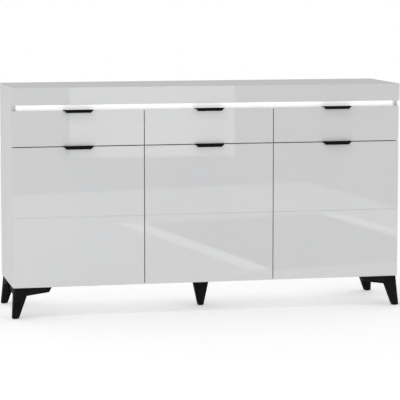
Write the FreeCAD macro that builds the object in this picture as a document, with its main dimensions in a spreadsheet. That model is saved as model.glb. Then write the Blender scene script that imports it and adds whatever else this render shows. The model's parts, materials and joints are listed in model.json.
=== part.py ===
import FreeCAD, Part
import math
import os
import re

import Sketcher

# White high-gloss sideboard: three drawers over three doors, a lit recess under the top's apron,
# edge-pull handles, four corner legs and a cross-shaped centre leg.
# Frame: +X to the right, +Y to the rear, +Z up, origin on the floor under the middle of the whole
# object's box. Millimetres.

# Driving dimensions. Each can be set by itself.
SIZES = {
    # overall
    "bodyWidth": 1500, "bodyDepth": 375, "bodyHeight": 750.5, "legHeight": 114.5,
    # boards
    "boardThickness": 16, "frontThickness": 16, "topOverhang": 2,
    "backThickness": 3, "rebateWidth": 8, "stripMetal": 1, "stripWidth": 14, "stripFit": 0.2,
    # fronts
    "frontGap": 3.4, "doorGap": 3.2, "bumperGap": 2, "bottomMargin": 1, "drawerFrontHeight": 133.3,
    "grooveWidth": 2.6, "grooveDepth": 1.3,
    # apron, light recess and rail
    "fasciaHeight": 66.2, "fasciaProud": 3, "recessHeight": 20.2, "railDrop": 34, "channelDepth": 8.6,
    "channelHeight": 9, "channelWall": 1, "channelFit": 0.4, "tapeWidth": 5, "tapeThickness": 0.5,
    "diffuserThickness": 1, "capThickness": 1, "deckSetback": 6,
    # drawer boxes
    "drawerBackRoom": 55, "drawerHeadroom": 17.2, "drawerWall": 12, "drawerLift": 6,
    "drawerFloorRise": 10, "drawerFloorThickness": 3, "drawerGroove": 6, "drawerFit": 0.2,
    # ball-bearing slides
    "slideThickness": 12.7, "slideHeight": 45, "slideMetal": 1.2,
    "slideRace": 2.5, "slideReach": 7, "slideStep": 2, "slideInset": 2,
    # hinges
    "cupDiameter": 35, "cupDepth": 11.5, "cupWall": 1, "cupReach": 6.5, "cupFit": 0.05,
    "cupPlateWidth": 16, "cupPlateHeight": 62, "cupPlateMetal": 1.2, "hingeEnd": 100,
    "noseShift": 0.5, "noseWidth": 10, "noseTip": 9, "armHeight": 12, "armLength": 58, "armStart": 4,
    "plateHeight": 44, "plateLength": 30, "plateMetal": 2,
    # edge-pull handles
    "handleWidth": 114, "handleTaper": 10.8, "handleReach": 12, "handleMetal": 2,
    "lipHeight": 11.4, "lipRise": 2.4, "flangeMetal": 1.4, "tailHeight": 20, "tailMetal": 1.5,
    # corner legs
    "wingApart": 42, "wingTipDrop": 18, "wingTipSlant": 10.6, "crotchAcross": 45.6,
    "crotchDrop": 29.6, "footWidth": 24.5, "legSplay": 10, "wingThickness": 14,
    "legInset": 5.2, "legPlate": 62, "legPlateMetal": 3, "padThickness": 2.5, "padDiameter": 17,
    # centre leg
    "crossSpan": 70, "crossFoot": 22, "crossRib": 19, "centreLegForward": 27,
    # leg screws
    "screwRadius": 2, "screwFit": 0.05, "screwLength": 15, "screwHeadRadius": 4,
    "screwHeadHeight": 2.4, "screwMargin": 9,
    # shelves, their pins, bumpers, cams
    "shelfSetback": 30, "shelfSideGap": 1, "shelfBackGap": 2, "pinRadius": 2.5, "pinFit": 0.05,
    "pinLength": 14, "pinInset": 40, "pinPitch": 64, "bumperRadius": 3, "bumperHeight": 1.8,
    "bumperInset": 5, "bumperEnd": 40, "camRadius": 7.5, "camDepth": 12, "camFit": 0.05,
    "camInset": 34, "camEnd": 50,
    # cable outlet
    "grommetX": 630, "grommetDrop": 70, "grommetRadius": 15, "grommetBore": 12,
    "grommetFlange": 19, "grommetSleeve": 5, "grommetFit": 0.05,
}

# Places and sizes that follow from the driving dimensions.
DERIVED = {
    "footReach": "legSplay - legInset",
    "faceY": "(handleReach - bodyDepth - footReach) / 2",
    "rearY": "faceY + bodyDepth",
    "frameY": "faceY + frontThickness + bumperGap",
    "bayY": "rearY - stripMetal - backThickness",
    "fasciaRearY": "faceY - fasciaProud + boardThickness",
    "railY": "fasciaRearY + channelDepth + channelFit",
    "deckY": "frameY + deckSetback",
    "topZ": "legHeight + bodyHeight",
    "ceilingZ": "topZ - boardThickness",
    "fasciaZ": "topZ - fasciaHeight",
    "railZ": "fasciaZ - railDrop",
    "drawerFrontTopZ": "fasciaZ - recessHeight",
    "drawerFrontZ": "drawerFrontTopZ - drawerFrontHeight",
    "doorTopZ": "drawerFrontZ - frontGap",
    "doorZ": "legHeight + bottomMargin",
    "doorHeight": "doorTopZ - doorZ",
    "floorZ": "legHeight + boardThickness",
    "deckZ": "doorTopZ + frontGap / 2 - boardThickness / 2",
    "doorWidth": "(bodyWidth - 2 * doorGap) / 3",
    "dividerX": "(doorWidth + doorGap) / 2",
    "sideX": "bodyWidth / 2 - boardThickness",
    "drawerBoxZ": "deckZ + boardThickness + drawerLift",
    "drawerSideHeight": "railZ - drawerHeadroom - drawerBoxZ",
    "drawerLength": "bayY - frontRearY - drawerBackRoom",
    "slideLength": "drawerLength",
    "drawerFloorZ": "drawerBoxZ + drawerFloorRise",
    "frontRearY": "faceY + frontThickness",
    "slideZ": "drawerBoxZ + drawerSideHeight / 2",
    "middleSlideHeight": "slideHeight - 2 * slideMetal - 2 * slideRace",
    "innerSlideHeight": "middleSlideHeight - 2 * slideMetal - 2 * slideRace",
    "channelY": "railY - channelDepth",
    "channelLength": "2 * sideX - 2 * capThickness",
    "cupInset": "boardThickness + cupReach",
    "noseStart": "cupInset - noseWidth / 2 + noseShift",
    "shelfZ": "(floorZ + deckZ - boardThickness) / 2",
    "shelfY": "frameY + shelfSetback",
    "shelfBackY": "bayY - shelfBackGap",
    "pinZ": "shelfZ - pinRadius",
    "legBodyHeight": "legHeight - padThickness",
    "legX": "bodyWidth / 2 - legInset",
    "legFrontY": "faceY + legInset",
    "legRearY": "rearY - legInset",
    "centreLegY": "(legFrontY + legRearY) / 2 - centreLegForward",
    "wingLength": "(legRearY - legFrontY) / 2 - wingApart",
    "footMiddle": "footWidth / 2 - legSplay",
    "screwFar": "legPlate - screwMargin",
    "screwNear": "wingThickness + screwMargin",
    "crossScrew": "(crossSpan + crossRib) / 4",
    "grommetZ": "topZ - grommetDrop",
}

doc = FreeCAD.newDocument("Sideboard")
sheet = doc.addObject("Spreadsheet::Sheet", "Sizes")
nodes = {}


def fillSheet():
    for row, (name, value) in enumerate(SIZES.items(), start=1):
        sheet.set(f"A{row}", name)
        sheet.set(f"B{row}", str(value))
        sheet.setAlias(f"B{row}", name)
    doc.recompute()


def spell(text):
    """An expression in the words above, written out in the sheet's own cells."""
    def word(match):
        name = match.group(0)
        if name in DERIVED:
            return f"({spell(DERIVED[name])})"
        return f"Sizes.{name}"
    return re.sub(r"[a-zA-Z]\w*", word, str(text))


def bind(thing, **expressions):
    for name, text in expressions.items():
        thing.setExpression(name, spell(text))


def place(thing, x, y, z, angle=0, axis=(0, 0, 1)):
    thing.Placement = FreeCAD.Placement(FreeCAD.Vector(), FreeCAD.Rotation(FreeCAD.Vector(*axis), angle))
    for letter, text in zip("xyz", (x, y, z)):
        thing.setExpression(f"Placement.Base.{letter}", spell(text))


def keep(label, thing):
    """The finished sub-part: its label names its file."""
    thing.Label = label
    nodes[label] = thing
    return thing


def box(corner, size):
    thing = doc.addObject("Part::Box", "Box")
    bind(thing, Length=size[0], Width=size[1], Height=size[2])
    place(thing, *corner)
    return thing


def rod(start, radius, length, axis="Z"):
    """A cylinder from its start point along +X, +Y or +Z."""
    turn = {"X": (90, (0, 1, 0)), "Y": (-90, (1, 0, 0)), "Z": (0, (0, 0, 1))}[axis]
    thing = doc.addObject("Part::Cylinder", "Rod")
    bind(thing, Radius=radius, Height=length)
    place(thing, *start, *turn)
    return thing


def fuse(things):
    thing = doc.addObject("Part::MultiFuse", "Fuse")
    thing.Shapes = things
    return thing


def cut(base, tools):
    thing = doc.addObject("Part::Cut", "Cut")
    thing.Base = base
    thing.Tool = tools[0] if len(tools) == 1 else group(tools)
    return thing


def group(things):
    thing = doc.addObject("Part::Compound", "Group")
    thing.Links = things
    return thing


def newBody():
    return doc.addObject("PartDesign::Body", "Body")


def addPad(body, plane, outline, length, start="0"):
    """Pads a closed outline, given as words, along the plane's rising normal (+X, +Y or +Z)."""
    sketch = body.newObject("Sketcher::SketchObject", "Outline")
    role = f"{plane}_Plane"
    sketch.AttachmentSupport = [(o, "") for o in body.Origin.OriginFeatures if o.Role == role]
    sketch.MapMode = "FlatFace"
    count = len(outline)
    spots = [FreeCAD.Vector(math.cos(6.28 * i / count), math.sin(6.28 * i / count), 0)
             for i in range(count)]
    for i in range(count):
        sketch.addGeometry(Part.LineSegment(spots[i], spots[(i + 1) % count]), False)
    for i in range(count):
        sketch.addConstraint(Sketcher.Constraint("Coincident", i, 2, (i + 1) % count, 1))
    for i, (across, along) in enumerate(outline):
        for kind, value, text in (("DistanceX", spots[i].x, across), ("DistanceY", spots[i].y, along)):
            index = sketch.addConstraint(Sketcher.Constraint(kind, -1, 1, i, 1, value))
            sketch.setExpression(f"Constraints[{index}]", spell(text))
    backward = plane == "XZ"
    sketch.setExpression("AttachmentOffset.Base.z", spell(f"-({start})" if backward else start))
    pad = body.newObject("PartDesign::Pad", "Pad")
    pad.Profile = sketch
    pad.Reversed = backward
    pad.setExpression("Length", spell(length))
    return pad


def profile(plane, outline, length, start="0"):
    body = newBody()
    addPad(body, plane, outline, length, start)
    return body


def rectangle(low, high):
    return [(low[0], low[1]), (high[0], low[1]), (high[0], high[1]), (low[0], high[1])]


def backRecess():
    """The rebate that the back panels lie in, cut from the boards around them."""
    return box(("-sideX - rebateWidth", "bayY", "floorZ - rebateWidth"),
               ("2 * (sideX + rebateWidth)", "rearY - bayY", "ceilingZ - floorZ + 2 * rebateWidth"))


# Each module: its inner walls, the left edge of its fronts, and the side its door is hung on.
MODULES = {
    "left": {"walls": ("-sideX", "-dividerX - boardThickness / 2"),
             "edge": "-bodyWidth / 2", "hung": -1},
    "middle": {"walls": ("-dividerX + boardThickness / 2", "dividerX - boardThickness / 2"),
               "edge": "-dividerX + doorGap / 2", "hung": -1},
    "right": {"walls": ("dividerX + boardThickness / 2", "sideX"),
              "edge": "dividerX + doorGap / 2", "hung": 1},
}


def pinPlaces():
    """The two depths at which a shelf rests on pins."""
    return "shelfY + pinInset", "shelfBackY - pinInset"


def pinHoles(start, length):
    """Three rows of shelf-pin holes, bored along +X from a wall's face."""
    return [rod((start, y, f"pinZ + {step} * pinPitch"), "pinRadius + pinFit", length, "X")
            for y in pinPlaces() for step in (-1, 0, 1)]


def makeTop():
    mitre = [("faceY - fasciaProud", "topZ"), ("rearY", "topZ"), ("rearY", "ceilingZ"),
             ("fasciaRearY", "ceilingZ")]
    width, start = "bodyWidth + 2 * topOverhang", "-bodyWidth / 2 - topOverhang"
    keep("top_panel", cut(profile("YZ", mitre, width, start), [backRecess()]))
    apron = [("faceY - fasciaProud", "topZ"), ("fasciaRearY", "ceilingZ"),
             ("fasciaRearY", "fasciaZ"), ("faceY - fasciaProud", "fasciaZ")]
    keep("top_fascia", profile("YZ", apron, width, start))


def makeSides():
    outline = [("frameY", "legHeight"), ("rearY", "legHeight"), ("rearY", "ceilingZ"),
               ("fasciaRearY", "ceilingZ"), ("fasciaRearY", "fasciaZ"), ("frameY", "fasciaZ")]
    depth = "pinLength / 2 + 1"
    for name, outer, hole in (("left", "-bodyWidth / 2", f"-sideX - ({depth})"),
                              ("right", "sideX", "sideX")):
        board = profile("YZ", outline, "boardThickness", outer)
        keep(f"side_{name}", cut(board, [backRecess()] + pinHoles(hole, depth)))


def makeDividers():
    outline = [("frameY", "floorZ"), ("bayY", "floorZ"), ("bayY", "ceilingZ"),
               ("railY + boardThickness", "ceilingZ"), ("railY + boardThickness", "railZ"),
               ("frameY", "railZ")]
    for name, sign in (("left", -1), ("right", 1)):
        face = f"{sign} * dividerX - boardThickness / 2"
        board = profile("YZ", outline, "boardThickness", face)
        keep(f"divider_{name}", cut(board, pinHoles(face, "boardThickness")))


def makeBottom():
    board = box(("-sideX", "frameY", "legHeight"), ("2 * sideX", "rearY - frameY", "boardThickness"))
    pilots = [rod((x, y, "legHeight"), "screwRadius + screwFit", "screwLength - legPlateMetal + 1")
              for x, y in screwPlaces()]
    keep("bottom_panel", cut(board, [backRecess()] + pilots))


def makeDecks():
    decks, cams = [], []
    for module in MODULES.values():
        low, high = module["walls"]
        board = box((low, "deckY", "deckZ"), (f"({high}) - ({low})", "bayY - deckY", "boardThickness"))
        places = [(x, y, "deckZ") for x in (f"{low} + camInset", f"{high} - camInset")
                  for y in ("frameY + camEnd", "bayY - camEnd")]
        decks.append(cut(board, [rod(p, "camRadius + camFit", "camDepth + camFit") for p in places]))
        cams += [rod(p, "camRadius", "camDepth") for p in places]
    keep("drawer_decks", group(decks))
    keep("cam_fittings", group(cams))


def makeLight():
    keep("led_rail", box(("-sideX", "railY", "railZ"),
                         ("2 * sideX", "boardThickness", "ceilingZ - railZ")))
    left = "-channelLength / 2"
    outline = [("channelY", "fasciaZ"), ("channelY + channelWall", "fasciaZ"),
               ("channelY + channelWall", "fasciaZ + channelHeight - channelWall"),
               ("railY - channelWall", "fasciaZ + channelHeight - channelWall"),
               ("railY - channelWall", "fasciaZ"), ("railY", "fasciaZ"),
               ("railY", "fasciaZ + channelHeight"), ("channelY", "fasciaZ + channelHeight")]
    keep("led_channel", profile("YZ", outline, "channelLength", left))
    keep("led_tape", box((left, "channelY + channelDepth / 2 - tapeWidth / 2",
                          "fasciaZ + channelHeight - channelWall - tapeThickness"),
                         ("channelLength", "tapeWidth", "tapeThickness")))
    keep("led_diffuser", box((left, "channelY + channelWall", "fasciaZ"),
                             ("channelLength", "channelDepth - 2 * channelWall",
                              "diffuserThickness")))
    ends = ("-sideX", "sideX - capThickness")
    keep("led_end_caps", group([box((x, "channelY", "fasciaZ"),
                                    ("capThickness", "channelDepth", "channelHeight"))
                                for x in ends]))


def makeBacks():
    seams = ("-sideX - rebateWidth", "-dividerX", "dividerX", "sideX + rebateWidth")
    web = ("0", "stripMetal / 2 + stripFit")
    panels = []
    for i in range(3):
        low = f"{seams[i]} + {web[i > 0]}"
        high = f"{seams[i + 1]} - ({web[i < 2]})"
        panels.append(box((low, "bayY", "floorZ - rebateWidth"),
                          (f"({high}) - ({low})", "backThickness",
                           "ceilingZ - floorZ + 2 * rebateWidth")))
    hole = rod(("grommetX", "bayY", "grommetZ"), "grommetRadius + grommetFit", "backThickness", "Y")
    panels[2] = cut(panels[2], [hole])
    keep("back_panels", group(panels))
    strips = []
    for sign in (-1, 1):
        middle = f"{sign} * dividerX"
        web = box((f"{middle} - stripMetal / 2", "bayY", "floorZ - rebateWidth"),
                  ("stripMetal", "rearY - bayY", "ceilingZ - floorZ + 2 * rebateWidth"))
        cover = box((f"{middle} - stripWidth / 2", "rearY - stripMetal", "floorZ - rebateWidth"),
                    ("stripWidth", "stripMetal", "ceilingZ - floorZ + 2 * rebateWidth"))
        strips.append(fuse([web, cover]))
    keep("back_joiners", group(strips))
    sleeve = rod(("grommetX", "bayY - grommetSleeve", "grommetZ"), "grommetRadius",
                 "rearY - bayY + grommetSleeve", "Y")
    flange = rod(("grommetX", "rearY - stripMetal", "grommetZ"), "grommetFlange", "stripMetal", "Y")
    bore = rod(("grommetX", "bayY - grommetSleeve", "grommetZ"), "grommetBore",
               "rearY - bayY + grommetSleeve", "Y")
    keep("cable_grommet", cut(fuse([sleeve, flange]), [bore]))


def makeShelves():
    shelves, pins = [], []
    for module in MODULES.values():
        low, high = module["walls"]
        shelves.append(box((f"{low} + shelfSideGap", "shelfY", "shelfZ"),
                           (f"({high}) - ({low}) - 2 * shelfSideGap", "shelfBackY - shelfY",
                            "boardThickness")))
        pins += [rod((f"{wall} - pinLength / 2", y, "pinZ"), "pinRadius", "pinLength", "X")
                 for wall in (low, high) for y in pinPlaces()]
    keep("shelves", group(shelves))
    keep("shelf_pins", group(pins))


# The corner legs are one casting, turned a quarter at each corner.
CORNERS = {
    "front_left": ("-legX", "legFrontY", 0),
    "front_right": ("legX", "legFrontY", 90),
    "rear_right": ("legX", "legRearY", 180),
    "rear_left": ("-legX", "legRearY", 270),
}


def turned(corner, across, along):
    """A point of a corner leg, measured along its two wings, in the object's frame."""
    x, y, angle = corner
    step = {0: (across, along), 90: (f"-({along})", across),
            180: (f"-({across})", f"-({along})"), 270: (along, f"-({across})")}[angle]
    return f"{x} + {step[0]}", f"{y} + {step[1]}"


def screwPlaces():
    spots = [turned(corner, *spot) for corner in CORNERS.values()
             for spot in (("screwFar", "screwNear"), ("screwNear", "screwFar"),
                          ("screwNear", "screwNear"))]
    return spots + [(f"{i} * crossScrew", f"centreLegY + {j} * crossScrew")
                    for i in (-1, 1) for j in (-1, 1)]


def cornerLeg(corner):
    wing = [("-legSplay", "0"), ("footWidth - legSplay", "0"),
            ("crotchAcross", "legBodyHeight - crotchDrop"),
            ("wingLength - wingTipSlant", "legBodyHeight - wingTipDrop"),
            ("wingLength", "legBodyHeight"), ("-legSplay", "legBodyHeight")]
    wings = [profile(plane, wing, "wingThickness + legSplay", "-legSplay") for plane in ("XZ", "YZ")]
    plate = box(("0", "0", "legBodyHeight - legPlateMetal"), ("legPlate", "legPlate", "legPlateMetal"))
    # the two outer faces lean out towards the floor
    lean = doc.addObject("Part::Wedge", "Lean")
    bind(lean, Ymin="0", Ymax="legBodyHeight", Xmin="-legSplay", Xmax="wingLength",
         Zmin="-wingLength", Zmax="legSplay", X2min="0", X2max="wingLength",
         Z2min="-wingLength", Z2max="0")
    place(lean, "0", "0", "0", 90, (1, 0, 0))
    shape = doc.addObject("Part::Common", "Casting")
    shape.Base = fuse(wings + [plate])
    shape.Tool = lean
    holes = [rod((x, y, "legBodyHeight - legPlateMetal"), "screwRadius + screwFit", "legPlateMetal")
             for x, y in (("screwFar", "screwNear"), ("screwNear", "screwFar"),
                          ("screwNear", "screwNear"))]
    leg = cut(shape, holes)
    place(leg, corner[0], corner[1], "padThickness", corner[2])
    return leg


def centreLeg():
    rib = [("-crossFoot / 2", "0"), ("crossFoot / 2", "0"), ("crossSpan / 2", "legBodyHeight"),
           ("-crossSpan / 2", "legBodyHeight")]
    ribs = [profile(plane, rib, "crossRib", "-crossRib / 2") for plane in ("XZ", "YZ")]
    plate = box(("-crossSpan / 2", "-crossSpan / 2", "legBodyHeight - legPlateMetal"),
                ("crossSpan", "crossSpan", "legPlateMetal"))
    holes = [rod((f"{i} * crossScrew", f"{j} * crossScrew", "legBodyHeight - legPlateMetal"),
                 "screwRadius + screwFit", "legPlateMetal") for i in (-1, 1) for j in (-1, 1)]
    leg = cut(fuse(ribs + [plate]), holes)
    place(leg, "0", "centreLegY", "padThickness")
    return leg


def makeLegs():
    feet = [turned(corner, "footMiddle", "footMiddle") for corner in CORNERS.values()]
    for name, corner in CORNERS.items():
        keep(f"leg_{name}", cornerLeg(corner))
    keep("leg_centre", centreLeg())
    pads = [rod((x, y, "0"), "padDiameter / 2", "padThickness") for x, y in feet + [("0", "centreLegY")]]
    keep("leg_pads", group(pads))
    screws = []
    for x, y in screwPlaces():
        head = rod((x, y, "legHeight - legPlateMetal - screwHeadHeight"), "screwHeadRadius",
                   "screwHeadHeight")
        shank = rod((x, y, "legHeight - legPlateMetal"), "screwRadius", "screwLength")
        screws.append(fuse([head, shank]))
    keep("leg_screws", group(screws))


def channelSection(wall, side, web, reach, tall):
    """A slide member's C-section: its web lies from web, and its flanges reach on by reach."""
    near, inner = f"{wall} + {side} * ({web})", f"{wall} + {side} * ({web} + slideMetal)"
    far = f"{wall} + {side} * ({web} + {reach})"
    top, bottom = f"slideZ + ({tall}) / 2", f"slideZ - ({tall}) / 2"
    return [(near, bottom), (far, bottom), (far, f"{bottom} + slideMetal"),
            (inner, f"{bottom} + slideMetal"), (inner, f"{top} - slideMetal"),
            (far, f"{top} - slideMetal"), (far, top), (near, top)]


def makeSlides():
    start = "frameY + slideInset"
    fixed = []
    for name, module in MODULES.items():
        middle, inner = [], []
        for wall, side in zip(module["walls"], (1, -1)):
            web = channelSection(wall, side, "0", "slideReach + slideMetal", "slideHeight")
            fixed.append(profile("XZ", web, "slideLength", start))
            web = channelSection(wall, side, "slideMetal + slideStep", "slideReach",
                                 "middleSlideHeight")
            middle.append(profile("XZ", web, "slideLength", start))
            far = f"{wall} + {side} * slideThickness"
            web = channelSection(far, -side, "0", "slideReach", "innerSlideHeight")
            inner.append(profile("XZ", web, "drawerLength - 2 * slideInset", start))
        keep(f"slide_middle_members_{name}", group(middle))
        keep(f"slide_drawer_members_{name}", group(inner))
    keep("slide_cabinet_members", group(fixed))


def makeDrawers():
    for name, module in MODULES.items():
        low, high = module["walls"]
        left, right = f"{low} + slideThickness", f"{high} - slideThickness"
        inside = f"({right}) - ({left}) - 2 * drawerWall"
        floorWidth = f"{inside} + 2 * (drawerGroove - drawerFit)"
        slot = box((f"{left} + drawerWall - drawerGroove", "frontRearY - drawerGroove",
                    "drawerFloorZ - drawerFit / 2"),
                   (f"{inside} + 2 * drawerGroove", "drawerLength + drawerGroove",
                    "drawerFloorThickness + drawerFit"))
        front = box((module["edge"], "faceY", "drawerFrontZ"),
                    ("doorWidth", "frontThickness", "drawerFrontHeight"))
        keep(f"drawer_front_{name}", cut(front, [slot]))
        sides = [cut(box((x, "frontRearY", "drawerBoxZ"),
                         ("drawerWall", "drawerLength", "drawerSideHeight")), [slot])
                 for x in (left, f"{right} - drawerWall")]
        keep(f"drawer_sides_{name}", group(sides))
        rear = "drawerFloorZ + drawerFloorThickness"
        keep(f"drawer_back_{name}",
             box((f"{left} + drawerWall", "frontRearY + drawerLength - drawerWall", rear),
                 (inside, "drawerWall", f"drawerBoxZ + drawerSideHeight - ({rear})")))
        keep(f"drawer_floor_{name}",
             box((f"{left} + drawerWall - drawerGroove + drawerFit",
                  "frontRearY - drawerGroove + drawerFit", "drawerFloorZ"),
                 (floorWidth, "drawerLength + drawerGroove - drawerFit", "drawerFloorThickness")))
        keep(f"drawer_handle_{name}", handle(module["edge"], "drawerFrontTopZ"))


def handle(edge, top):
    """A bent plate over a front's top edge: lip in front, flange on the edge, tail behind."""
    body = newBody()
    wide, narrow = "handleWidth / 2", "(handleWidth / 2 - handleTaper)"
    low = "lipRise - lipHeight"
    lip = [(f"-{narrow}", low), (narrow, low), (wide, "lipRise"), (f"-{wide}", "lipRise")]
    addPad(body, "XZ", lip, "handleMetal", "-handleReach")
    depth = "frontThickness + tailMetal"
    addPad(body, "XY", rectangle((f"-{wide}", "-handleReach + handleMetal / 2"), (wide, depth)),
           "flangeMetal")
    addPad(body, "XZ", rectangle((f"-{narrow}", "-tailHeight"), (narrow, "flangeMetal / 2")),
           "tailMetal", "frontThickness")
    place(body, f"{edge} + doorWidth / 2", "faceY", top)
    return body


def makeDoors():
    arms, bumpers = [], []
    for name, module in MODULES.items():
        edge, hung = module["edge"], module["hung"]
        hingeEdge = edge if hung < 0 else f"{edge} + doorWidth"
        inward = -hung
        wall = module["walls"][0 if hung < 0 else 1]
        cupX = f"{hingeEdge} + {inward} * cupInset"
        levels = ("doorZ + hingeEnd", "doorTopZ - hingeEnd")
        panel = box((edge, "faceY", "doorZ"), ("doorWidth", "frontThickness", "doorHeight"))
        bores = [rod((cupX, "frontRearY - cupDepth", z), "cupDiameter / 2 + cupFit", "cupDepth", "Y")
                 for z in levels]
        middle = "doorZ + doorHeight / 2"
        groove = [("faceY", f"{middle} - grooveWidth / 2"), ("faceY + grooveDepth", middle),
                  ("faceY", f"{middle} + grooveWidth / 2")]
        keep(f"door_panel_{name}", cut(panel, bores + [profile("YZ", groove, "doorWidth", edge)]))
        keep(f"door_handle_{name}", handle(edge, "doorTopZ"))
        keep(f"hinge_cups_{name}", group([hingeCup(cupX, z) for z in levels]))
        arms += [hingeArm(hingeEdge, inward, wall, z) for z in levels]
        free = module["walls"][1 if hung < 0 else 0]
        rest = f"{free} + {inward} * (boardThickness / 2 - bumperInset)"
        bumpers += [bumper(rest, z) for z in ("doorZ + bumperEnd", "doorTopZ - bumperEnd")]
    keep("hinge_arms", group(arms))
    keep("front_bumpers", group(bumpers))


def bumper(x, z):
    return rod((x, "frameY - bumperHeight", z), "bumperRadius", "bumperHeight", "Y")


def hingeCup(x, z):
    plate = box((f"{x} - cupPlateWidth / 2", "frontRearY", f"{z} - cupPlateHeight / 2"),
                ("cupPlateWidth", "cupPlateMetal", "cupPlateHeight"))
    shell = rod((x, "frontRearY - cupDepth", z), "cupDiameter / 2", "cupDepth", "Y")
    hollow = rod((x, "frontRearY - cupDepth + cupWall", z), "cupDiameter / 2 - cupWall",
                 "cupDepth + cupPlateMetal", "Y")
    return cut(fuse([shell, plate]), [hollow])


def hingeArm(edge, inward, wall, z):
    """The fixed half of a hinge: a nose inside the cup, an arm along the wall and its plate."""
    noseEnd = f"{edge} + {inward} * (noseStart + noseWidth)"
    noseLow = noseEnd if inward < 0 else f"{edge} + noseStart"
    armLow = noseEnd if inward < 0 else wall
    armWidth = f"{inward} * (({noseEnd}) - ({wall}))"
    low = f"{z} - armHeight / 2"
    nose = box((noseLow, "faceY + noseTip", low),
               ("noseWidth", "frameY + armStart - faceY - noseTip", "armHeight"))
    arm = box((armLow, "frameY + armStart", low), (armWidth, "armLength", "armHeight"))
    plateLow = wall if inward > 0 else f"{wall} - plateMetal"
    plate = box((plateLow, "frameY + armStart + (armLength - plateLength) / 2",
                 f"{z} - plateHeight / 2"), ("plateMetal", "plateLength", "plateHeight"))
    return fuse([nose, arm, plate])


def checkAndWrite():
    doc.recompute()
    for thing in doc.Objects:
        if "Invalid" in thing.State or "Error" in thing.State:
            raise RuntimeError(f"{thing.Name} ({thing.Label}) failed: {thing.State}")
    os.makedirs("parts", exist_ok=True)
    for label, thing in nodes.items():
        shape = thing.Shape
        if shape.isNull() or not shape.isValid() or not shape.Solids:
            raise RuntimeError(f"{label} has no valid solid")
        shape.exportStep(f"parts/{label}.step")
    print(f"{len(nodes)} sub-parts, {sum(len(t.Shape.Solids) for t in nodes.values())} solids")


fillSheet()
for make in (makeTop, makeSides, makeDividers, makeBottom, makeDecks, makeLight, makeBacks, makeShelves,
             makeLegs, makeSlides, makeDrawers, makeDoors):
    make()
checkAndWrite()
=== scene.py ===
import json
import math

import bmesh
import bpy
from mathutils import Matrix, Vector


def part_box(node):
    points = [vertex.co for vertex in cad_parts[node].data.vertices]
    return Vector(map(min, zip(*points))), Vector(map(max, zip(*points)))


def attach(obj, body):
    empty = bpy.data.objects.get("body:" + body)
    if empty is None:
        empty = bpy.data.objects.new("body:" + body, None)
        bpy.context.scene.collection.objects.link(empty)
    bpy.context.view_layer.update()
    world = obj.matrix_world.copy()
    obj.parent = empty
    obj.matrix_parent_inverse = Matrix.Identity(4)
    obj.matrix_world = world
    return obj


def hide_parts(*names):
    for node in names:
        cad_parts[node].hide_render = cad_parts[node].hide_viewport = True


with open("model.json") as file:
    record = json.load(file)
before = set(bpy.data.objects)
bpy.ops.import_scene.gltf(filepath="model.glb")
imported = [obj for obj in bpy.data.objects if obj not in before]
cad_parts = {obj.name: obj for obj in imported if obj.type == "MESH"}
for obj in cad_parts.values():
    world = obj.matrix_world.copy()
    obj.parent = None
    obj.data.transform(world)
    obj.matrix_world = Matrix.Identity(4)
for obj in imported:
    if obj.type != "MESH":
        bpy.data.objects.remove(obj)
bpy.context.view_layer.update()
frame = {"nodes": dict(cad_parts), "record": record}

record = frame["record"]
bodyOf = {node: body for body, nodes in record["behaviour"]["bodies"].items() for node in nodes}
slotOf = {part["node"]: part["material_slot"] for part in record["subparts"]}
modules = ("left", "middle", "right")
mm = 0.001


# Finishes: small helpers, then one function for each finish.

def startMaterial(name, **sockets):
    material = bpy.data.materials.new(name)
    material.use_nodes = True
    shader = material.node_tree.nodes["Principled BSDF"]
    for socket, value in sockets.items():
        shader.inputs[socket.replace("_", " ")].default_value = value
    return material, shader


def addNode(material, kind, values=None, links=None):
    node = material.node_tree.nodes.new(kind)
    for key, value in (values or {}).items():
        if key in node.inputs:
            node.inputs[key].default_value = value
        else:
            setattr(node, key, value)
    for key, output in (links or {}).items():
        material.node_tree.links.new(output, node.inputs[key])
    return node


def surfacePoint(material, stretch=(1, 1, 1)):
    # the object's own coordinates, so a pattern keeps its real size and rides with its body
    place = addNode(material, "ShaderNodeTexCoord")
    return addNode(material, "ShaderNodeMapping", {"Scale": stretch},
                   {"Vector": place.outputs["Object"]}).outputs["Vector"]


def grain(material, point, size, detail=2.0):
    # soft noise whose blotches are about size metres across
    return addNode(material, "ShaderNodeTexNoise", {"Scale": 1 / size, "Detail": detail},
                   {"Vector": point}).outputs["Fac"]


noiseLow, noiseHigh = 0.3, 0.7  # nearly all of a noise pattern lies between these


def between(material, factor, low, high):
    return addNode(material, "ShaderNodeMapRange",
                   {"From Min": noiseLow, "From Max": noiseHigh, "To Min": low, "To Max": high},
                   {"Value": factor}).outputs["Result"]


def paint(material, shader, factor, dark, light):
    ramp = addNode(material, "ShaderNodeValToRGB", links={"Fac": factor})
    for stop, spot, colour in zip(ramp.color_ramp.elements, (noiseLow, noiseHigh), (dark, light)):
        stop.position = spot
        stop.color = (*colour, 1)
    material.node_tree.links.new(ramp.outputs["Color"], shader.inputs["Base Color"])


def polish(material, shader, factor, low, high):
    material.node_tree.links.new(between(material, factor, low, high), shader.inputs["Roughness"])


def relief(material, shader, *layers):
    # each layer is a height pattern and the depth in metres that it is worth
    normal = None
    for factor, depth in layers:
        bump = addNode(material, "ShaderNodeBump", {"Distance": depth, "Strength": 1.0},
                       {"Height": factor})
        if normal:
            material.node_tree.links.new(normal, bump.inputs["Normal"])
        normal = bump.outputs["Normal"]
    material.node_tree.links.new(normal, shader.inputs["Normal"])


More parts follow.
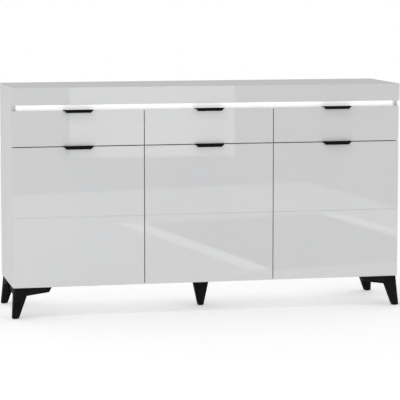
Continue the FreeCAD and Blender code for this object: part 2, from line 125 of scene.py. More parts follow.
def coat(name, look, **sockets):
    # the common finish: clouds of colour, patches of polish and fine relief
    # clouds and patches are (size, detail), and each relief is (size, detail, depth)
    material, shader = startMaterial(name, **sockets)
    point = surfacePoint(material)
    paint(material, shader, grain(material, point, *look["clouds"]), look["dark"], look["light"])
    polish(material, shader, grain(material, point, *look["patches"]), *look["rough"])
    relief(material, shader, *[(grain(material, point, size, detail), depth)
                               for size, detail, depth in look["reliefs"]])
    return material


def glossLacquer():
    look = {"dark": (0.755, 0.76, 0.77), "light": (0.775, 0.78, 0.788), "clouds": (0.35, 2),
            "patches": (0.08, 4), "rough": (0.012, 0.03), "reliefs": [(0.006, 2, 1.5e-6)]}
    return coat("glossLacquer", look, IOR=1.5)


def edgeBand():
    look = {"dark": (0.745, 0.75, 0.757), "light": (0.765, 0.77, 0.775), "clouds": (0.2, 2),
            "patches": (0.03, 3), "rough": (0.1, 0.16), "reliefs": [(0.012, 2, 1.2e-5)]}
    return coat("edgeBand", look, IOR=1.5)


def melamine():
    # a pearl relief over a slight wave
    look = {"dark": (0.735, 0.74, 0.742), "light": (0.765, 0.768, 0.77), "clouds": (0.12, 3),
            "patches": (0.02, 3), "rough": (0.34, 0.46),
            "reliefs": [(0.0007, 3, 2e-5), (0.006, 2, 1.5e-5)]}
    return coat("melamine", look, IOR=1.5)


def hardboard():
    look = {"dark": (0.708, 0.705, 0.695), "light": (0.732, 0.729, 0.719), "clouds": (0.03, 6),
            "rough": (0.5, 0.68), "fibres": (0.0022, 5), "fibreDepth": 5e-5, "fibreStretch": (1, 1, 0.3)}
    material, shader = startMaterial("hardboard", IOR=1.45)
    fibres = grain(material, surfacePoint(material, look["fibreStretch"]), *look["fibres"])
    clouds = grain(material, surfacePoint(material), *look["clouds"])
    paint(material, shader, clouds, look["dark"], look["light"])
    polish(material, shader, fibres, *look["rough"])
    relief(material, shader, (fibres, look["fibreDepth"]))
    return material


def mouldedBlack():
    look = {"dark": (0.007, 0.007, 0.0078), "light": (0.013, 0.013, 0.014), "clouds": (0.03, 3),
            "patches": (0.012, 3), "rough": (0.48, 0.6), "reliefs": [(0.0008, 3, 3.5e-5)]}
    return coat("mouldedBlack", look, IOR=1.46, Specular_IOR_Level=0.04)


def powderBlack():
    look = {"dark": (0.004, 0.004, 0.0045), "light": (0.009, 0.009, 0.01), "clouds": (0.0012, 3),
            "patches": (0.006, 3), "rough": (0.36, 0.5), "reliefs": [(0.0004, 2, 2.5e-5)]}
    return coat("powderBlack", look, IOR=1.5, Specular_IOR_Level=0.03)


def platedSteel(name, dark, light, rough, streaks):
    # bright metal with rolling marks that run along streaks
    look = {"clouds": (0.015, 4), "marks": (0.0015, 4), "markDepth": 8e-6}
    material, shader = startMaterial(name, Metallic=1.0)
    marks = grain(material, surfacePoint(material, streaks), *look["marks"])
    paint(material, shader, grain(material, surfacePoint(material), *look["clouds"]), dark, light)
    polish(material, shader, marks, *rough)
    relief(material, shader, (marks, look["markDepth"]))
    return material


def castZinc():
    look = {"dark": (0.36, 0.365, 0.37), "light": (0.5, 0.5, 0.5), "clouds": (0.004, 4),
            "patches": (0.002, 3), "rough": (0.42, 0.6), "reliefs": [(0.0009, 3, 4e-5)]}
    return coat("castZinc", look, Metallic=1.0)


def ledDots(material, pitch):
    # a wave along X that rises to 1 at each diode of the strip
    return addNode(material, "ShaderNodeTexWave",
                   {"wave_profile": "SIN", "bands_direction": "X", "Scale": math.pi / 10 / pitch},
                   {"Vector": surfacePoint(material, (1, 0, 0))}).outputs["Fac"]


ledPitch = 8.3 * mm


def frostedLight():
    look = {"glow": 0.9, "warm": (1.0, 0.985, 0.96), "cool": (1.0, 1.0, 1.0), "dark": (0.86, 0.86, 0.85),
            "light": (0.9, 0.9, 0.9), "frostSize": 0.0006, "rough": (0.45, 0.6), "frostDepth": 1e-5}
    material, shader = startMaterial("frostedLight", IOR=1.45, Emission_Strength=look["glow"])
    dots = ledDots(material, ledPitch)
    # the base colour is painted lighter over each diode: a painted glow hotspot from the diode behind, on
    # top of the real glow that the emission gives
    paint(material, shader, dots, look["dark"], look["light"])
    ramp = addNode(material, "ShaderNodeValToRGB", links={"Fac": dots})
    ramp.color_ramp.elements[0].color = (*look["warm"], 1)
    ramp.color_ramp.elements[1].color = (*look["cool"], 1)
    material.node_tree.links.new(ramp.outputs["Color"], shader.inputs["Emission Color"])
    frost = grain(material, surfacePoint(material), look["frostSize"])
    polish(material, shader, frost, *look["rough"])
    relief(material, shader, (frost, look["frostDepth"]))
    return material


def ledTapeBoard():
    look = {"board": (0.7, 0.7, 0.68), "phosphor": (0.85, 0.72, 0.2), "patchSize": 0.002,
            "rough": (0.4, 0.55), "diodeDepth": 2e-4}
    material, shader = startMaterial("ledTapeBoard")
    dots = ledDots(material, ledPitch)
    paint(material, shader, dots, look["board"], look["phosphor"])
    polish(material, shader, grain(material, surfacePoint(material), look["patchSize"]), *look["rough"])
    relief(material, shader, (dots, look["diodeDepth"]))
    return material


def whitePlastic():
    look = {"dark": (0.72, 0.72, 0.71), "light": (0.77, 0.77, 0.76), "clouds": (0.02, 3),
            "patches": (0.008, 3), "rough": (0.32, 0.44), "reliefs": [(0.0006, 2, 1.5e-5)]}
    return coat("whitePlastic", look, IOR=1.46)


def needleFelt():
    look = {"dark": (0.012, 0.012, 0.013), "light": (0.05, 0.05, 0.052), "hairs": (0.0005, 6),
            "hairDepth": 3e-4}
    material, shader = startMaterial("needleFelt", Sheen_Weight=0.4, Sheen_Roughness=0.5,
                                     Roughness=0.95)
    hairs = grain(material, surfacePoint(material), *look["hairs"])
    paint(material, shader, hairs, look["dark"], look["light"])
    relief(material, shader, (hairs, look["hairDepth"]))
    return material


def clearBumper():
    look = {"dark": (0.82, 0.82, 0.81), "light": (0.9, 0.9, 0.89), "clouds": (0.002, 2),
            "patches": (0.001, 2), "rough": (0.16, 0.28), "reliefs": [(0.0008, 2, 1e-5)]}
    return coat("clearBumper", look, IOR=1.5, Transmission_Weight=0.55)


alongWidth, alongDepth = (0.04, 1, 1), (1, 0.04, 1)
finishes = {
    "gloss_white_board": glossLacquer(),
    "white_melamine_board": melamine(),
    "white_hardboard": hardboard(),
    "black_leg_plastic": mouldedBlack(),
    "black_handle_paint": powderBlack(),
    "zinc_plated_steel": platedSteel("zincPlate", (0.55, 0.56, 0.58), (0.68, 0.69, 0.7), (0.22, 0.36),
                                     alongDepth),
    "nickel_plated_steel": platedSteel("nickelPlate", (0.6, 0.59, 0.57), (0.7, 0.69, 0.67), (0.12, 0.22),
                                       alongDepth),
    "cast_zinc": castZinc(),
    "anodised_aluminium": platedSteel("anodisedAluminium", (0.68, 0.68, 0.69), (0.76, 0.76, 0.77),
                                      (0.3, 0.42), alongWidth),
    "frosted_diffuser": frostedLight(),
    "led_tape_board": ledTapeBoard(),
    "white_plastic": whitePlastic(),
    "felt_pad": needleFelt(),
    "clear_bumper": clearBumper(),
}
bandFinish = edgeBand()
for node, slot in slotOf.items():
    slots = frame["nodes"][node].data.materials
    slots.clear()
    slots.append(finishes[slot])
print("finishes made:", len(finishes) + 1)


# Shaping helpers.

def cadShape(node, weld=1e-6, flatAngle=0.01):
    # the sub-part's own shape, with its corners joined and its flat faces whole
    bm = bmesh.new()
    bm.from_mesh(frame["nodes"][node].data)
    bmesh.ops.remove_doubles(bm, verts=bm.verts, dist=weld)
    bmesh.ops.dissolve_limit(bm, angle_limit=flatAngle, verts=bm.verts, edges=bm.edges)
    return bm


def sharpEdges(bm, shortest, sharpDegrees=25):
    return [e for e in bm.edges if len(e.link_faces) == 2 and e.calc_length() > shortest
            and e.calc_face_angle(0) > math.radians(sharpDegrees)]


def ease(bm, radius, segments=2, shortest=3 * mm, choose=None):
    edges = [e for e in sharpEdges(bm, shortest) if choose is None or choose(e)]
    bmesh.ops.bevel(bm, geom=edges, offset=radius, segments=segments, profile=0.5, affect="EDGES",
                    clamp_overlap=True)


def looseBoxes(node):
    # the boxes of a sub-part's separate solids, in a fixed order
    bm = cadShape(node)
    waiting, boxes = set(bm.verts), []
    while waiting:
        stack, corners = [waiting.pop()], []
        while stack:
            vert = stack.pop()
            corners.append(vert.co.copy())
            for other in [edge.other_vert(vert) for edge in vert.link_edges]:
                if other in waiting:
                    waiting.remove(other)
                    stack.append(other)
        boxes.append((Vector(map(min, zip(*corners))), Vector(map(max, zip(*corners)))))
    bm.free()
    return sorted(boxes, key=lambda box: tuple(round(value, 5) for value in box[0]))


def boxShape(bm, low, high):
    size = Vector(high) - Vector(low)
    centre = (Vector(high) + Vector(low)) / 2
    matrix = Matrix.Translation(centre) @ Matrix.Diagonal((*size, 1))
    bmesh.ops.create_cube(bm, size=1, matrix=matrix)


def lathe(bm, profile, centre, axis, steps=28, capped=True):
    # turns a list of (radius, height) points round an axis
    turn = Vector((0, 0, 1)).rotation_difference(Vector(axis)).to_matrix().to_4x4()
    place = Matrix.Translation(centre) @ turn
    rings = []
    for radius, height in profile:
        ring = []
        for i in range(steps if radius > 0 else 1):
            angle = 2 * math.pi * i / steps
            ring.append(bm.verts.new(place @ Vector((radius * math.cos(angle),
                                                     radius * math.sin(angle), height))))
        rings.append(ring)
    for lower, upper in zip(rings, rings[1:]):
        for i in range(steps):
            j = (i + 1) % steps
            corners = [lower[i % len(lower)], lower[j % len(lower)],
                       upper[j % len(upper)], upper[i % len(upper)]]
            bm.faces.new(list(dict.fromkeys(corners)))
    for ring in (rings[0], rings[-1]):
        if capped and len(ring) > 1:
            bm.faces.new(ring)


def finishPiece(bm, name, body, slot, replaces=(), band=None, creaseDegrees=40):
    # turns a shape into a piece: its finish, its shading, and the body it rides on
    bmesh.ops.recalc_face_normals(bm, faces=bm.faces)
    for face in bm.faces:
        face.smooth = True
        if band and band(face):
            face.material_index = 1
    for edge in bm.edges:
        edge.smooth = len(edge.link_faces) == 2 and edge.calc_face_angle(0) < math.radians(creaseDegrees)
    mesh = bpy.data.meshes.new(name)
    bm.to_mesh(mesh)
    bm.free()
    mesh.materials.append(finishes[slot])
    if band:
        mesh.materials.append(bandFinish)
    piece = bpy.data.objects.new(name, mesh)
    bpy.context.scene.collection.objects.link(piece)
    normals = piece.modifiers.new("evenShading", "WEIGHTED_NORMAL")
    normals.keep_sharp = True
    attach(piece, body)
    if replaces:
        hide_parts(*replaces)


def camel(node):
    first, *rest = node.split("_")
    return first + "".join(word.capitalize() for word in rest)


def finishNode(bm, node, **options):
    # a piece that stands for one sub-part
    finishPiece(bm, camel(node), bodyOf[node], slotOf[node], [node], **options)


# Boards: eased edges, and edge bands on the gloss boards' narrow faces.

boards = {
    "edgeRadius": 0.9 * mm, "edgeSegments": 3, "shortestEdge": 8 * mm,
    "innerEdgeRadius": 0.5 * mm,
    "hardboardEdgeRadius": 0.3 * mm,
    "bandWidest": 17 * mm, "bandShortest": 68 * mm,
    "unbanded": ("top_panel", "top_fascia"),
}


def narrowFace(face):
    # a face of the board's edge: long, and no wider than the board is thick
    points = [v.co for v in face.verts]
    sizes = sorted(max(p[i] for p in points) - min(p[i] for p in points) for i in range(3))
    return sizes[1] < boards["bandWidest"] and sizes[2] > boards["bandShortest"]


def makeBoards():
    glossy, satin, thin = ([node for node, slot in slotOf.items() if slot == wanted] for wanted in
                           ("gloss_white_board", "white_melamine_board", "white_hardboard"))
    for node in glossy:
        bm = cadShape(node)
        ease(bm, boards["edgeRadius"], boards["edgeSegments"], boards["shortestEdge"])
        finishNode(bm, node, band=None if node in boards["unbanded"] else narrowFace)
    for nodes, radius in ((satin, boards["innerEdgeRadius"]), (thin, boards["hardboardEdgeRadius"])):
        for node in nodes:
            bm = cadShape(node)
            ease(bm, radius)
            finishNode(bm, node)
    print("boards made:", len(glossy) + len(satin) + len(thin))


makeBoards()


# Edge-pull handles: a bent plate with rounded bends and eased rims.

handles = {"bendRadius": 1.1 * mm, "bendSegments": 4, "bendShortest": 8 * mm, "bendDrop": 0.3 * mm,
           "bendReach": 3 * mm, "bendShare": 0.7, "rimRadius": 0.45 * mm, "rimShortest": 1 * mm,
           "screwApart": 64 * mm, "screwDrop": 11 * mm, "screwRadius": 3 * mm, "screwTwist": 0.4}


def makeHandles():
    for module in modules:
        for kind in ("drawer", "door"):
            node = f"{kind}_handle_{module}"
            low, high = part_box(node)
            bm = cadShape(node)

            def isBend(edge):
                # a long edge at the top of the lip, near its front
                a, b = (v.co for v in edge.verts)
                along = abs(a.x - b.x) > handles["bendShare"] * (high.x - low.x)
                return (along and min(a.z, b.z) > high.z - handles["bendDrop"]
                        and a.y < low.y + handles["bendReach"])
            ease(bm, handles["bendRadius"], handles["bendSegments"], handles["bendShortest"], isBend)
            ease(bm, handles["rimRadius"], shortest=handles["rimShortest"])
            finishNode(bm, node)
    print("handles made:", 2 * len(modules))


makeHandles()


# Legs: soft moulded edges.

legs = {"edgeRadius": 1.6 * mm, "segments": 4, "shortestEdge": 2.5 * mm}


def makeLegs():
    for node in [node for node, slot in slotOf.items() if slot == "black_leg_plastic"]:
        bm = cadShape(node)
        ease(bm, legs["edgeRadius"], legs["segments"], legs["shortestEdge"])
        finishNode(bm, node)
    print("legs made")


makeLegs()


# Fixings: one cross-head screw and one domed nail, set wherever they are needed.

crossRecess = {"reach": 0.55, "halfWidth": 0.11, "clear": 0.2, "step": 0.01}


def crossHead(profile, slotDepth):
    # a head of radius 1 with a cross recess, cut once and copied
    def asObject(bm, name):
        mesh = bpy.data.meshes.new(name)
        bmesh.ops.recalc_face_normals(bm, faces=bm.faces)
        bm.to_mesh(mesh)
        bm.free()
        thing = bpy.data.objects.new(name, mesh)
        bpy.context.scene.collection.objects.link(thing)
        return thing
    head, cross = bmesh.new(), bmesh.new()
    lathe(head, profile, (0, 0, 0), (0, 0, 1), 24)
    reach, half = crossRecess["reach"], crossRecess["halfWidth"]
    for (x, y), step in (((reach, half), 0), ((half, reach), crossRecess["step"])):
        # the second bar is a hair deeper and taller, so that no faces coincide
        bottom, top = profile[-1][1] - slotDepth - step, profile[-1][1] + crossRecess["clear"] + step
        boxShape(cross, (-x, -y, bottom), (x, y, top))
    head, cross = asObject(head, "headBlank"), asObject(cross, "crossBlank")
    carve = head.modifiers.new("recess", "BOOLEAN")
    carve.operation, carve.solver, carve.object = "DIFFERENCE", "EXACT", cross
    carve.use_self = True
    mesh = bpy.data.meshes.new_from_object(head.evaluated_get(bpy.context.evaluated_depsgraph_get()))
    for thing in (head, cross):
        bpy.data.objects.remove(thing)
    return mesh


panHead = crossHead([(0, 0), (1, 0), (1, 0.12), (0.93, 0.3), (0.75, 0.43), (0.45, 0.5), (0, 0.52)], 0.32)
camHead = crossHead([(0, 0), (1, 0), (1, 1.52), (0.93, 1.6), (0, 1.6)], 0.4)


def addScrew(bm, centre, axis, radius, twist, head=panHead):
    # twist turns the cross, in radians, so that the screws aren't all set alike
    before = len(bm.verts)
    bm.from_mesh(head)
    bm.verts.ensure_lookup_table()
    turn = Vector((0, 0, 1)).rotation_difference(Vector(axis)).to_matrix().to_4x4()
    place = Matrix.Translation(centre) @ turn @ Matrix.Rotation(twist, 4, "Z") @ Matrix.Scale(radius, 4)
    bmesh.ops.transform(bm, matrix=place, verts=bm.verts[before:])


def addNail(bm, centre, axis, radius):
    dome = [(1, 0), (0.94, 0.18), (0.65, 0.29), (0.3, 0.33), (0, 0.34)]
    lathe(bm, [(r * radius, h * radius) for r, h in dome], centre, axis, 14)


def evenly(start, end, pitch):
    count = max(1, round((end - start) / pitch))
    return [start + (end - start) * i / count for i in range(count + 1)]


backNails = {"pitch": 98 * mm, "inset": 4 * mm, "headRadius": 2.3 * mm, "endMargin": 60 * mm,
             "outsideSeam": 8 * mm, "insideSeam": 24 * mm}


def makeBackNails():
    low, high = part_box("back_panels")
    seamLeft, seamRight = (corner.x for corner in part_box("back_joiners"))
    inset, pitch, margin = backNails["inset"], backNails["pitch"], backNails["endMargin"]
    outside, inside = backNails["outsideSeam"], backNails["insideSeam"]
    left, right = low.x + inset, high.x - inset
    spots = [(x, z) for z in evenly(low.z + margin, high.z - margin, pitch) for x in (left, right)]
    for start, end in ((left, seamLeft - outside), (seamLeft + inside, seamRight - inside),
                       (seamRight + outside, right)):
        spots += [(x, z) for x in evenly(start, end, pitch) for z in (low.z + inset, high.z - inset)]
    bm = bmesh.new()
    for x, z in spots:
        addNail(bm, (x, high.y, z), (0, 1, 0), backNails["headRadius"])
    finishPiece(bm, "backNails", "carcass", "zinc_plated_steel")
    print("back nails made:", len(spots))


makeBackNails()


def makeHandleScrews():
    for module in modules:
        for kind in ("drawer", "door"):
            low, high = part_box(f"{kind}_handle_{module}")
            bm = bmesh.new()
            for side in (-1, 1):
                centre = ((low.x + high.x) / 2 + side * handles["screwApart"] / 2, high.y,
                          high.z - handles["screwDrop"])
                addScrew(bm, centre, (0, 1, 0), handles["screwRadius"], side * handles["screwTwist"])
            finishPiece(bm, f"{kind}HandleScrews{module.capitalize()}", f"{kind}_{module}",
                        "zinc_plated_steel")
    print("handle screws made")


makeHandleScrews()


# Hinges: a rolled cup in each door, and an arm with its setting screws on the wall.

hinges = {
    "boreRadius": 17.4 * mm, "cupWall": 1.0 * mm, "rimRadius": 18.6 * mm, "rimMetal": 1.0 * mm,
    "plateHalf": 31 * mm, "wingScrewApart": 45 * mm, "wingHalf": 8 * mm, "wingMetal": 1.2 * mm,
    "cornerRadius": 4 * mm, "screwRadius": 3.4 * mm, "screwTwist": 0.5,
    "armFold": 1.1 * mm, "armSegments": 3, "armShortest": 1.5 * mm,
    "armHeight": 12 * mm, "settingBack": (10 * mm, 30 * mm), "settingRadius": 3.2 * mm,
    "plateHeight": 2 * mm, "plateBack": 29 * mm, "plateScrewRise": 16 * mm,
}


def roundedPlate(bm, centre, half, corner, y, thick, steps=6):
    # a square plate in the XZ plane with round corners, from y to y + thick
    outline = []
    for sx, sz, start in ((1, 1, 0), (-1, 1, 1), (-1, -1, 2), (1, -1, 3)):
        for i in range(steps + 1):
            angle = math.pi / 2 * (start + i / steps)
            outline.append((centre[0] + sx * (half - corner) + corner * math.cos(angle),
                            centre[1] + sz * (half - corner) + corner * math.sin(angle)))
    front = [bm.verts.new((x, y, z)) for x, z in outline]
    rear = [bm.verts.new((x, y + thick, z)) for x, z in outline]
    bm.faces.new(front)
    bm.faces.new(rear[::-1])
    for i in range(len(front)):
        j = (i + 1) % len(front)
        bm.faces.new((front[i], rear[i], rear[j], front[j]))


def cupProfile(depth):
    # the pressed cup's half section: outer wall, rolled rim, inner wall and floor
    bore, rim, wall, metal = (hinges[key] for key in ("boreRadius", "rimRadius", "cupWall", "rimMetal"))
    return [(0, 0), (bore - 2 * mm, 0), (bore - 0.5 * mm, 0.5 * mm), (bore, 2 * mm), (bore, depth),
            (rim, depth), (rim, depth + 0.7 * mm), (rim - 0.4 * mm, depth + metal),
            (bore - 0.4 * mm, depth + metal), (bore - wall, depth + 0.5 * mm), (bore - wall, 3 * mm),
            (bore - 3 * mm, wall), (0, wall)]


def makeHingeCups():
    for module in modules:
        node = f"hinge_cups_{module}"
        low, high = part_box(node)
        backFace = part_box(f"door_panel_{module}")[1].y
        bm, screws = bmesh.new(), bmesh.new()
        middleX = (low.x + high.x) / 2
        for z in (low.z + hinges["plateHalf"], high.z - hinges["plateHalf"]):
            lathe(bm, cupProfile(backFace - low.y), (middleX, low.y, z), (0, 1, 0), 48)
            for side in (-1, 1):
                wingZ = z + side * hinges["wingScrewApart"] / 2
                roundedPlate(bm, (middleX, wingZ), hinges["wingHalf"], hinges["cornerRadius"], backFace,
                             hinges["wingMetal"])
                addScrew(screws, (middleX, backFace + hinges["wingMetal"], wingZ), (0, 1, 0),
                         hinges["screwRadius"], side + hinges["screwTwist"])
        finishNode(bm, node)
        finishPiece(screws, f"hingeCupScrews{module.capitalize()}", f"door_{module}",
                    "zinc_plated_steel")
    print("hinge cups made")


makeHingeCups()


def makeHingeArms():
    # the arm solids keep their place; folded rims and setting screws go on them
    bm = cadShape("hinge_arms")
    ease(bm, hinges["armFold"], hinges["armSegments"], hinges["armShortest"])
    finishNode(bm, "hinge_arms")
    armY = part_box("hinge_arms")[1].y
    screws = bmesh.new()
    for module, wallNode, inward in (("left", "side_left", 1), ("middle", "divider_left", 1),
                                     ("right", "side_right", -1)):
        wallLow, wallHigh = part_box(wallNode)
        wall = wallHigh.x if inward > 0 else wallLow.x
        armX, plateX = wall + inward * hinges["armHeight"], wall + inward * hinges["plateHeight"]
        cupLow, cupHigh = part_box(f"hinge_cups_{module}")
        for z in (cupLow.z + hinges["plateHalf"], cupHigh.z - hinges["plateHalf"]):
            for back in hinges["settingBack"]:
                addScrew(screws, (armX, armY - back, z), (inward, 0, 0), hinges["settingRadius"], twist=back)
            for side in (-1, 1):
                addScrew(screws, (plateX, armY - hinges["plateBack"], z + side * hinges["plateScrewRise"]),
                         (inward, 0, 0), hinges["screwRadius"], twist=side)
    finishPiece(screws, "hingeArmScrews", "carcass", "zinc_plated_steel")
    print("hinge arms made")


makeHingeArms()


# Drawer slides: folded rails, balls in their retainers and screws into the drawers.

slides = {"ballRadius": 1.2 * mm, "ballPitch": 9 * mm, "race": 2.5 * mm, "metal": 1.2 * mm,
          "innerRowShift": 0.3 * mm, "retainerWidth": 3 * mm, "retainerThickness": 0.7 * mm,
          "retainerEdge": 0.15 * mm, "screwRadius": 3 * mm, "screwSpots": (30 * mm, 126 * mm, 222 * mm),
          "foldRadius": 0.35 * mm}


def addBallRow(balls, retainers, x, z, start, end):
    radius = slides["ballRadius"]
    for y in evenly(start + 2 * radius, end - 2 * radius, slides["ballPitch"]):
        bmesh.ops.create_icosphere(balls, subdivisions=2, radius=radius,
                                   matrix=Matrix.Translation((x, y, z)))
    halfWidth, halfThick = slides["retainerWidth"] / 2, slides["retainerThickness"] / 2
    boxShape(retainers, (x - halfWidth, start, z - halfThick), (x + halfWidth, end, z + halfThick))


def makeSlides():
    rails = ["slide_cabinet_members"] + [f"slide_{kind}_members_{module}" for module in modules
                                         for kind in ("middle", "drawer")]
    for node in rails:
        bm = cadShape(node)
        ease(bm, slides["foldRadius"])
        finishNode(bm, node)
    race, metal = slides["race"], slides["metal"]
    for module in modules:
        balls, retainers, screws = bmesh.new(), bmesh.new(), bmesh.new()
        for (low, high), inward in zip(looseBoxes(f"slide_middle_members_{module}"), (1, -1)):
            wall = low.x if inward > 0 else high.x
            outerX, innerX = wall + inward * race, wall + inward * (2 * race - slides["innerRowShift"])
            half = (low.y + high.y) / 2
            for z in (low.z - race / 2, high.z + race / 2):
                addBallRow(balls, retainers, outerX, z, half, high.y)
            for z in (low.z + metal + race / 2, high.z - metal - race / 2):
                addBallRow(balls, retainers, innerX, z, low.y, half)
        for (low, high), inward in zip(looseBoxes(f"slide_drawer_members_{module}"), (1, -1)):
            web = (high.x if inward > 0 else low.x) - inward * metal
            for spot in slides["screwSpots"]:
                addScrew(screws, (web, low.y + spot, (low.z + high.z) / 2), (-inward, 0, 0),
                         slides["screwRadius"], twist=spot / mm)
        ease(retainers, slides["retainerEdge"], 1)
        for bm, name, body in ((balls, "slideBalls", "slide"), (retainers, "slideRetainers", "slide"),
                               (screws, "slideScrews", "drawer")):
            finishPiece(bm, name + module.capitalize(), f"{body}_{module}", "zinc_plated_steel")
    print("slides made")


makeSlides()


# Small turned parts: pads, shelf pins, bumpers, cams and leg screws.

turned = {"padRound": 0.7 * mm, "padEdge": 0.2 * mm, "padHeel": 0.25 * mm, "padShoulder": 0.8 * mm,
          "pinPoint": 0.3, "pinFlat": 0.6, "shankRadius": 2 * mm, "shankStraight": 11 * mm,
          "shankLength": 15 * mm, "shankTip": 0.4 * mm, "screwTwist": 0.7, "camStart": 0.3, "camTwist": 0.9}


def makePads():
    bm = bmesh.new()
    for low, high in looseBoxes("leg_pads"):
        radius, tall = (high.x - low.x) / 2, high.z - low.z
        profile = [(0, 0), (radius - turned["padRound"], 0),
                   (radius - turned["padEdge"], turned["padHeel"]), (radius, turned["padShoulder"]),
                   (radius, tall), (0, tall)]
        lathe(bm, profile, ((low.x + high.x) / 2, (low.y + high.y) / 2, low.z), (0, 0, 1), 40)
    finishNode(bm, "leg_pads")


def makePins():
    bm = bmesh.new()
    for low, high in looseBoxes("shelf_pins"):
        radius, length = (high.z - low.z) / 2, high.x - low.x
        point, flat = turned["pinPoint"] * radius, turned["pinFlat"] * radius
        profile = [(0, 0), (flat, 0), (radius, point), (radius, length - point), (flat, length), (0, length)]
        lathe(bm, profile, (low.x, (low.y + high.y) / 2, (low.z + high.z) / 2), (1, 0, 0), 20)
    finishNode(bm, "shelf_pins")


def makeBumpers():
    dome = [(0, 0), (1, 0), (1, 0.35), (0.88, 0.68), (0.6, 0.9), (0, 1)]
    bm = bmesh.new()
    for low, high in looseBoxes("front_bumpers"):
        radius, tall = (high.x - low.x) / 2, high.y - low.y
        lathe(bm, [(r * radius, h * tall) for r, h in dome],
              ((low.x + high.x) / 2, high.y, (low.z + high.z) / 2), (0, -1, 0), 24)
    finishNode(bm, "front_bumpers")


def makeCams():
    bm = bmesh.new()
    for index, (low, high) in enumerate(looseBoxes("cam_fittings")):
        addScrew(bm, ((low.x + high.x) / 2, (low.y + high.y) / 2, high.z), (0, 0, -1),
                 (high.x - low.x) / 2, turned["camStart"] + turned["camTwist"] * index, camHead)
    finishNode(bm, "cam_fittings")


def makeLegScrews():
    shank, length = turned["shankRadius"], turned["shankLength"]
    profile = [(0, 0), (shank, 0), (shank, turned["shankStraight"]), (turned["shankTip"], length),
               (0, length)]
    bm = bmesh.new()
    for index, (low, high) in enumerate(looseBoxes("leg_screws")):
        seat = ((low.x + high.x) / 2, (low.y + high.y) / 2, high.z - length)
        addScrew(bm, seat, (0, 0, -1), (high.x - low.x) / 2, turned["screwTwist"] * index)
        lathe(bm, profile, seat, (0, 0, 1), 16)
    finishNode(bm, "leg_screws")


makePads()
makePins()
makeBumpers()
makeCams()
makeLegScrews()
print("turned parts made")


# Small parts: the back's joiner strips, the light's channel and the cable outlet.

small = {"joinerEdge": 0.3 * mm, "channelEdge": 0.2 * mm}
grommet = {"flangeRadius": 19 * mm, "sleeveRadius": 15 * mm, "boreRadius": 12 * mm, "flangeMetal": 1 * mm,
           "edge": 0.5 * mm, "round": 0.8 * mm, "rim": 0.2 * mm}


def makeSmallParts():
    for node, radius in (("back_joiners", small["joinerEdge"]), ("led_channel", small["channelEdge"])):
        bm = cadShape(node)
        ease(bm, radius)
        finishNode(bm, node)
    print("small parts made")


def makeGrommet():
    low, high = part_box("cable_grommet")
    centre, deep = ((low.x + high.x) / 2, low.y, (low.z + high.z) / 2), high.y - low.y
    flange, sleeve, bore = grommet["flangeRadius"], grommet["sleeveRadius"], grommet["boreRadius"]
    edge, rounding, seat = grommet["edge"], grommet["round"], deep - grommet["flangeMetal"]
    bm = bmesh.new()
    lathe(bm, [(bore + edge, 0), (sleeve - edge, 0), (sleeve, edge), (sleeve, seat),
               (flange - grommet["rim"], seat), (flange, deep - rounding), (flange - rounding, deep),
               (bore + rounding, deep), (bore, deep - rounding), (bore, edge), (bore + edge, 0)],
          centre, (0, 1, 0), 64, capped=False)
    bmesh.ops.remove_doubles(bm, verts=bm.verts, dist=1e-7)
    finishNode(bm, "cable_grommet")
    print("cable grommet made")


makeSmallParts()
makeGrommet()


# Studio: floor, soft light, and the pale room that the lacquer mirrors.

studio = {
    "floorSize": 14.0, "floorColour": (0.9, 0.9, 0.9), "floorGlow": 0.3, "paperRough": 0.9,
    "behind": 1.0, "inFront": 0.53, "frontEdge": -0.5, "behindEdge": 0.9,
    "keyPower": 46.0, "keySize": 1.2, "keyPlace": (-2.4, -2.0, 6.0), "keyTarget": (0, 0, 0.5),
}


def plainMaterial(name, colour=(0, 0, 0), glow=0.0):
    return startMaterial(name, Base_Color=(*colour, 1), Roughness=studio["paperRough"],
                         Emission_Color=(1, 1, 1, 1), Emission_Strength=glow, Specular_IOR_Level=0)[0]


def stageSheet(name, corners, material, mirrorOnly=False):
    bm = bmesh.new()
    bm.faces.new([bm.verts.new(corner) for corner in corners])
    mesh = bpy.data.meshes.new(name)
    bm.to_mesh(mesh)
    bm.free()
    mesh.materials.append(material)
    sheet = bpy.data.objects.new(name, mesh)
    bpy.context.scene.collection.objects.link(sheet)
    if mirrorOnly:
        sheet.visible_camera = sheet.visible_diffuse = sheet.visible_shadow = False
        sheet.visible_transmission = sheet.visible_volume_scatter = False


mirrorRoom = {
    "wallTall": 3.2, "wallGlow": 0.8, "floorGlow": 1.8, "windowGlow": 2.5, "matGlow": 0.85,
    "stripeGlow": 3.1, "rearGlow": 0.5, "rearLeftGlow": 0.6, "sheetGap": 1 * mm,
    "corner": (1.64, -4.67), "wallEnd": (-4.2, -3.51), "sideEnd": (1.95, -1.0), "floorEnd": (-4.2, -0.5),
    "window": ((0.09, -4.35), (1.14, -4.56)), "windowSill": (0.216, 0.188), "windowTop": 2.2,
    "mat": ((0.26, -2.82), (1.25, -3.09), (1.36, -2.01), (1.12, -1.28), (0.49, -1.13)),
    "stripes": (((0.11, -2.94), (0.26, -2.827), (0.5, -1.17), (0.405, -1.14)),
                ((1.27, -3.083), (1.36, -3.086), (1.457, -2.346), (1.393, -2.151))),
    "rear": ((-0.8, 5), (6, 5)), "rearLeft": ((-6, 5), (-0.8, 5)), "rearFoot": -0.5,
    "floorLeft": ((-6, -0.4), (-0.76, -0.4), (-0.76, 5), (-6, 5)),
}


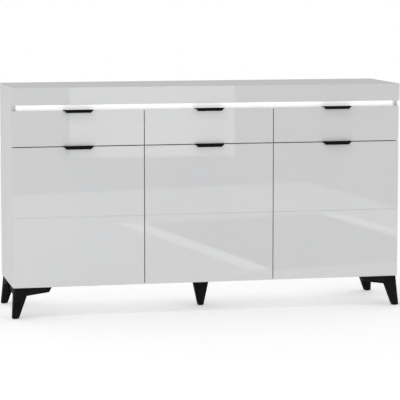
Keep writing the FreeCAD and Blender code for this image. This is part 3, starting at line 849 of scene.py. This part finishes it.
def makeMirrorRoom():
    # glowing cards that only the gloss sees: wall, window, floor, dark mat and its light borders
    room = mirrorRoom
    tall, foot, top = room["wallTall"], room["rearFoot"], room["windowTop"]

    def standing(start, end, low, high):
        return [(*start, low), (*end, low), (*end, high), (*start, high)]

    def lying(points, layer):
        return [(*point, layer * room["sheetGap"]) for point in points]
    floor = (room["wallEnd"], room["corner"], room["sideEnd"], room["floorEnd"])
    window = [(*spot, height) for spot, height in
              zip(room["window"] + room["window"][::-1], (*room["windowSill"], top, top))]
    for name, corners, glow in (
            ("mirrorWall", standing(room["wallEnd"], room["corner"], 0, tall), "wallGlow"),
            ("mirrorSideWall", standing(room["corner"], room["sideEnd"], 0, tall), "wallGlow"),
            ("mirrorWindow", window, "windowGlow"),
            ("mirrorRear", standing(*room["rear"], foot, tall), "rearGlow"),
            ("mirrorRearLeft", standing(*room["rearLeft"], foot, tall), "rearLeftGlow"),
            ("mirrorFloorLeft", lying(room["floorLeft"], 1), "rearLeftGlow"),
            ("mirrorFloor", lying(floor, 2), "floorGlow"),
            ("mirrorMat", lying(room["mat"], 3), "matGlow"),
            ("mirrorStripeLeft", lying(room["stripes"][0], 4), "stripeGlow"),
            ("mirrorStripeRight", lying(room["stripes"][1], 4), "stripeGlow")):
        stageSheet(name, corners, plainMaterial(name, glow=room[glow]), mirrorOnly=True)


def makeFloor():
    reach = studio["floorSize"] / 2
    stageSheet("floor", [(-reach, -reach, 0), (reach, -reach, 0), (reach, reach, 0), (-reach, reach, 0)],
               plainMaterial("floorPaper", studio["floorColour"], studio["floorGlow"]))


def makeSoftRoom():
    # an even white sky, brighter behind the object than in front of it
    world = bpy.data.worlds.new("softRoom")
    bpy.context.scene.world = world
    world.use_nodes = True
    tree = world.node_tree
    coord = tree.nodes.new("ShaderNodeTexCoord")
    split = tree.nodes.new("ShaderNodeSeparateXYZ")
    ramp = tree.nodes.new("ShaderNodeMapRange")
    background = tree.nodes["Background"]
    tree.links.new(coord.outputs["Generated"], split.inputs["Vector"])
    tree.links.new(split.outputs["Y"], ramp.inputs["Value"])
    tree.links.new(ramp.outputs["Result"], background.inputs["Strength"])
    for socket, key in (("From Min", "frontEdge"), ("From Max", "behindEdge"),
                        ("To Min", "inFront"), ("To Max", "behind")):
        ramp.inputs[socket].default_value = studio[key]
    background.inputs["Color"].default_value = (1, 1, 1, 1)


def makeKeyLight():
    key = bpy.data.lights.new("keyLight", "AREA")
    key.energy, key.size = studio["keyPower"], studio["keySize"]
    lamp = bpy.data.objects.new("keyLight", key)
    lamp.location = studio["keyPlace"]
    aim = Vector(studio["keyTarget"]) - lamp.location
    lamp.rotation_euler = aim.to_track_quat("-Z", "Y").to_euler()
    lamp.visible_glossy = False
    bpy.context.scene.collection.objects.link(lamp)


makeFloor()
makeMirrorRoom()
makeSoftRoom()
makeKeyLight()
print("studio made")


# The recess: the strip's own glow lights the rail's top, and this lamp lights the rest of it evenly.

recessLight = {"power": 0.078, "colour": (1.0, 0.99, 0.975), "gap": 4 * mm, "belowShelf": 5 * mm}


def makeRecessLight():
    left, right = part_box("led_rail")
    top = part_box("top_fascia")[0].z
    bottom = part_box("drawer_front_middle")[1].z - recessLight["belowShelf"]
    light = bpy.data.lights.new("recessLight", "AREA")
    light.shape = "RECTANGLE"
    light.size, light.size_y = right.x - left.x, top - bottom
    light.energy, light.color = recessLight["power"], recessLight["colour"]
    lamp = bpy.data.objects.new("recessLight", light)
    lamp.location = ((left.x + right.x) / 2, left.y - recessLight["gap"], (top + bottom) / 2)
    lamp.rotation_euler = (math.pi / 2, 0, 0)
    lamp.visible_camera = lamp.visible_glossy = False
    bpy.context.scene.collection.objects.link(lamp)
    print("recess light made")


makeRecessLight()


# The camera, a little left of the object and a little above its top.

camera = {"lens": 175.23, "sensorWidth": 36, "shiftY": -0.075, "place": (-1.61207, -7.35753, 1.27031),
          "turnRight": 0.2162, "tiltDown": 0.0984, "farthest": 100}


def makeCamera():
    data = bpy.data.cameras.new("camera")
    data.lens, data.sensor_width, data.shift_y = camera["lens"], camera["sensorWidth"], camera["shiftY"]
    data.clip_end = camera["farthest"]
    thing = bpy.data.objects.new("camera", data)
    thing.location = camera["place"]
    thing.rotation_euler = (math.pi / 2 - camera["tiltDown"], 0, -camera["turnRight"])
    bpy.context.scene.collection.objects.link(thing)
    bpy.context.scene.camera = thing
    bpy.context.scene.view_settings.view_transform = "Standard"
    print("camera made")


makeCamera()
